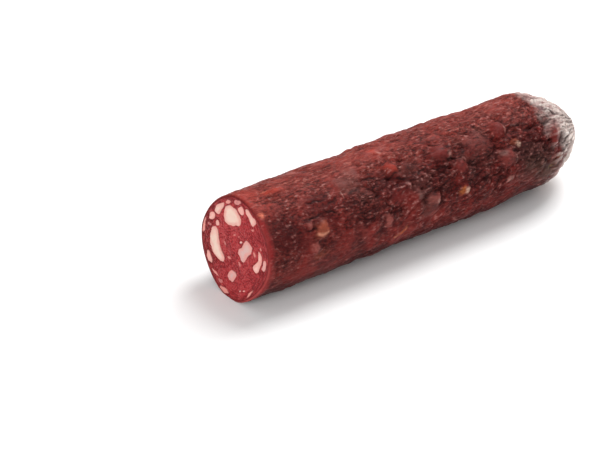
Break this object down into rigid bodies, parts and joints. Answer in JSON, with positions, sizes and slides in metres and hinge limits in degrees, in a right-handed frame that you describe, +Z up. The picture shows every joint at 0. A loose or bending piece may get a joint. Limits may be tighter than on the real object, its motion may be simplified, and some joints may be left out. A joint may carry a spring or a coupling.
{
  "type": "cured sausage",
  "caption": "Stick of coarse dry-cured sausage, cut across at one end, with a lumpy wrinkled skin and a pleated closed end.",
  "frame": {"origin": "middle of the footprint, on the surface that the sausage lies on", "axes": "+X along the stick from the cut face to the closed end, +Z up from the flat of the underside"},
  "size_m": [0.199, 0.0502, 0.0485],
  "materials": {
    "skin": "dry wrinkled cured-meat skin, dark red brown, satin, paler at the closed end",
    "cut_meat": "freshly cut cured meat, deep red and slightly translucent, with cream and pink pieces of fat"
  },
  "bodies": {
    "root": {"sausage": "skin"}
  },
  "joints": []
}
